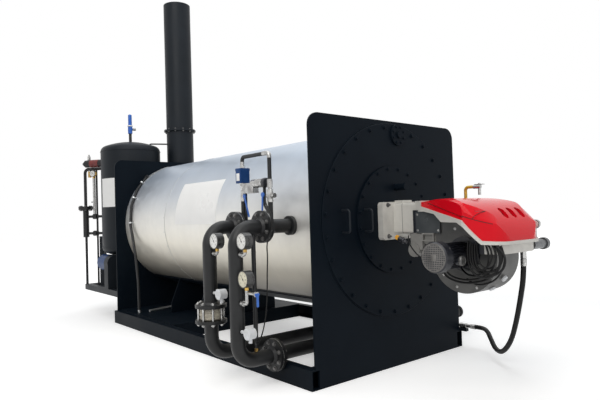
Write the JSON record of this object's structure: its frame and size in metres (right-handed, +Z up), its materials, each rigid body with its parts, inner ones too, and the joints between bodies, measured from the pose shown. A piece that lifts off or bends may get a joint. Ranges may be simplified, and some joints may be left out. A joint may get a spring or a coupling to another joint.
{
  "type": "packaged industrial boiler",
  "caption": "Horizontal thermal fluid boiler on a skid, with a forced-draught burner, piped risers, an expansion vessel and a chimney.",
  "frame": {"origin": "on the ground at the foot of the front plate, halfway along its width and through its thickness", "axes": "+X out of the boiler through the burner, +Z up, the risers stand on the -Y side"},
  "size_m": [4.972, 2.335, 3.495],
  "materials": {
    "black_paint": "semi-gloss black paint",
    "pipe_black": "satin black paint",
    "cladding": "brushed sheet, slightly dulled",
    "valve_cream": "cream primer",
    "instrument_steel": "polished steel case",
    "head_grey": "off-white moulded head",
    "control_blue": "blue enamel",
    "burner_silver": "cast, lightly dulled",
    "burner_black": "black paint",
    "hood_red": "glossy red moulding",
    "rim_grey": "grey moulding",
    "gas_yellow": "yellow paint",
    "hose_rubber": "black rubber",
    "fitting_steel": "plated steel",
    "cap_plastic": "black cap"
  },
  "bodies": {
    "root": {"skid_rails": "black_paint", "skid_cross_members": "black_paint", "skid_floor_plate": "black_paint", "front_plate": "black_paint", "rear_plate": "black_paint", "shell_rear_course": "cladding", "shell_front_course": "cladding", "shell_cradle": "black_paint", "shell_saddles": "black_paint", "door_ring": "black_paint", "burner_door": "black_paint", "door_handles": "black_paint", "blind_cover": "black_paint", "sight_tube": "black_paint", "oil_nozzles": "pipe_black", "front_riser": "pipe_black", "front_cross_pipe": "pipe_black", "rear_riser": "pipe_black", "rear_cross_pipe": "pipe_black", "pipe_end_caps": "cap_plastic", "check_valve": "valve_cream", "pressure_gauges": "instrument_steel", "gauge_cocks": "fitting_steel", "sensor_heads": "head_grey", "bridge_pipes": "pipe_black", "flow_switch": "control_blue", "burner_flange": "burner_silver", "burner_neck": "burner_silver", "burner_casing": "burner_silver", "burner_motor": "burner_black", "motor_fan_cover": "burner_black", "burner_hood": "hood_red", "burner_rim": "rim_grey", "burner_intake": "rim_grey", "fuel_fitting": "fitting_steel", "fuel_bracket": "black_paint", "burner_fitting": "fitting_steel", "fuel_hose": "hose_rubber", "gas_pipe": "gas_yellow", "chimney_base": "black_paint", "chimney_stack": "black_paint", "tank_shell": "black_paint", "tank_top_head": "black_paint", "tank_bottom_head": "black_paint", "tank_legs": "black_paint", "aux_long_beams": "black_paint", "aux_cross_beams": "black_paint", "level_column": "pipe_black", "column_connections": "pipe_black", "column_top_pipe": "pipe_black", "relief_valve": "control_blue", "pump_motor": "control_blue", "pump_body": "black_paint", "bridge_fittings": "instrument_steel", "pressure_unit": "control_blue", "control_levers": "control_blue", "instrument_cable": "hose_rubber", "shell_conduit": "pipe_black", "tank_fittings": "fitting_steel"}
  },
  "joints": []
}
